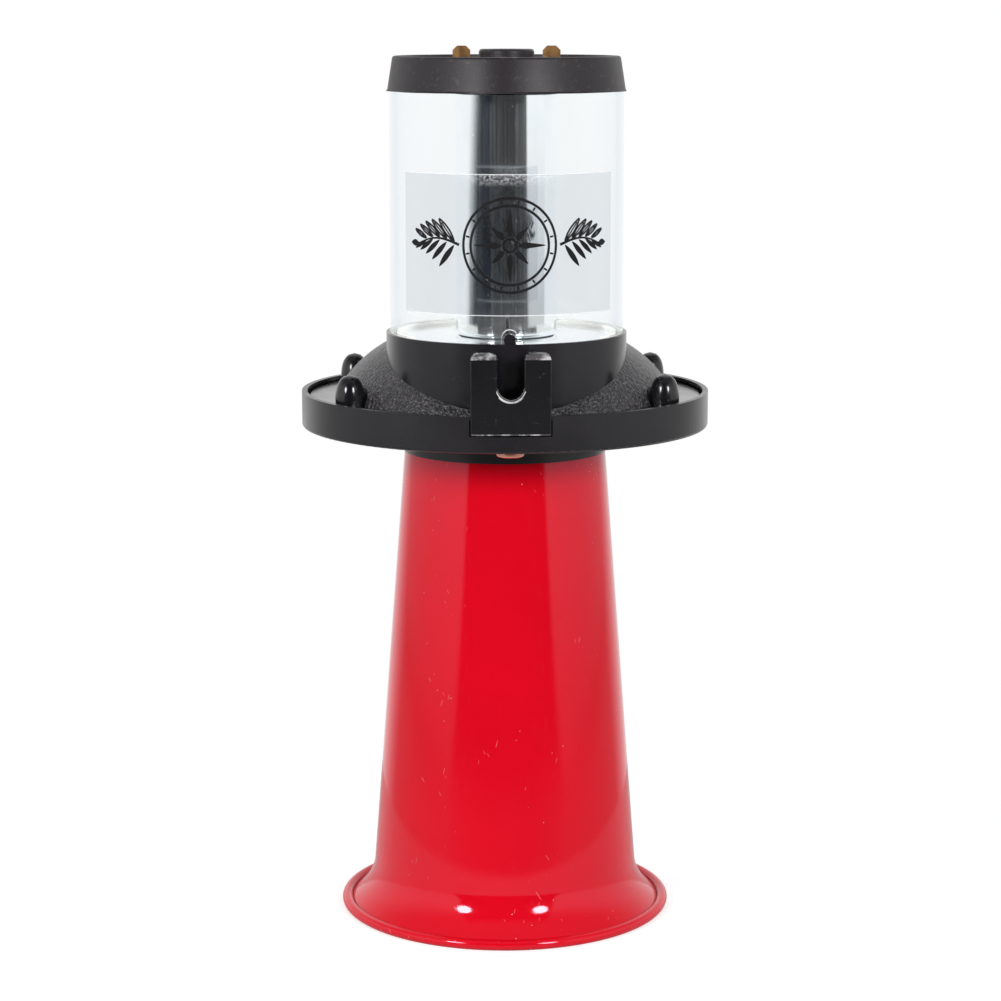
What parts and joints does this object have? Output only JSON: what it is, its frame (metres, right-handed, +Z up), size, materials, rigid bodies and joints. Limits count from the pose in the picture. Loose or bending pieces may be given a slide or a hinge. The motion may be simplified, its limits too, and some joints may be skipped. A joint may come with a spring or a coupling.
{
  "type": "electric horn",
  "caption": "Motor-driven car horn with a flared trumpet, dished flange, slotted mounting lug and clear motor tube; a toothed wheel strikes a sprung diaphragm.",
  "frame": {"origin": "centre of the bell's mouth, on the surface that the bell stands on", "axes": "+Z up along the trumpet's axis towards the motor, the mounting lug faces -Y"},
  "size_m": [0.114, 0.114, 0.2448],
  "materials": {
    "red_enamel": "gloss enamel",
    "satin_black_plastic": "satin moulded",
    "gloss_black_plastic": "gloss moulded, grained on the dome",
    "gasket_rubber": "matte",
    "spring_steel": "rolled",
    "zinc_steel": "zinc plated",
    "copper_plate": "copper coloured",
    "bright_steel": "bright",
    "clear_acrylic": "clear polished",
    "clear_film": "clear printed film",
    "black_rubber": "matte moulded",
    "nickel_plate": "bright plated",
    "bronze": "sintered",
    "ferrite": "pressed",
    "carbon": "pressed",
    "brass": "stamped, dull",
    "core_steel": "stacked sheet",
    "enamelled_copper": "enamelled wire",
    "nylon": "moulded"
  },
  "bodies": {
    "horn": {"trumpet": "red_enamel", "front_cover": "satin_black_plastic", "front_gasket": "gasket_rubber", "diaphragm": "spring_steel", "rear_gasket": "gasket_rubber", "rear_housing": "gloss_black_plastic", "flange_bolts": "zinc_steel", "flange_nuts": "zinc_steel", "nut_caps": "gloss_black_plastic", "lug_screw": "copper_plate", "motor_plate": "bright_steel", "motor_screws": "zinc_steel", "cover_tube": "clear_acrylic", "tube_label": "clear_film", "end_cap": "black_rubber", "cap_nut": "satin_black_plastic", "motor_can": "nickel_plate", "front_bearing": "bronze", "rear_bearing": "bronze", "end_bell": "satin_black_plastic", "tail_bush": "zinc_steel", "field_magnets": "ferrite", "magnet_clips": "spring_steel", "brushes": "carbon", "brush_arms": "copper_plate", "terminals": "brass"},
    "rotor": {"motor_shaft": "bright_steel", "armature_core": "core_steel", "armature_windings": "enamelled_copper", "commutator": "copper_plate", "thrust_washers": "nylon", "ratchet_wheel": "bright_steel", "wheel_clip": "spring_steel"},
    "striker": {"anvil": "bright_steel", "anvil_washer": "zinc_steel", "anvil_nut": "zinc_steel"},
    "thrust": {"thrust_ball": "bright_steel"},
    "adjuster": {"adjusting_screw": "zinc_steel"}
  },
  "joints": [
    {"name": "adjuster_travel", "type": "slide", "parent": "horn", "child": "thrust", "axis": [0, 0, -1], "range_m": [-0.0002, 0.0002]},
    {"name": "adjuster_turn", "type": "hinge", "parent": "thrust", "child": "adjuster", "pos_m": [0, -0.0142, 0.238], "axis": [0, 0, -1], "range_deg": [-90.5, 90.5]},
    {"name": "rotor_spin", "type": "hinge", "parent": "thrust", "child": "rotor", "pos_m": [0, -0.0142, 0.19], "axis": [0, 0, 1], "continuous": true},
    {"name": "anvil_stroke", "type": "slide", "parent": "horn", "child": "striker", "axis": [0, 0, -1], "range_m": [0, 0.0006], "stiffness_N_per_m": 8000, "deforming": ["diaphragm"]}
  ],
  "couplings": [
    {"joint": "adjuster_turn", "follows": "adjuster_travel", "rad_per_m": 7854}
  ]
}
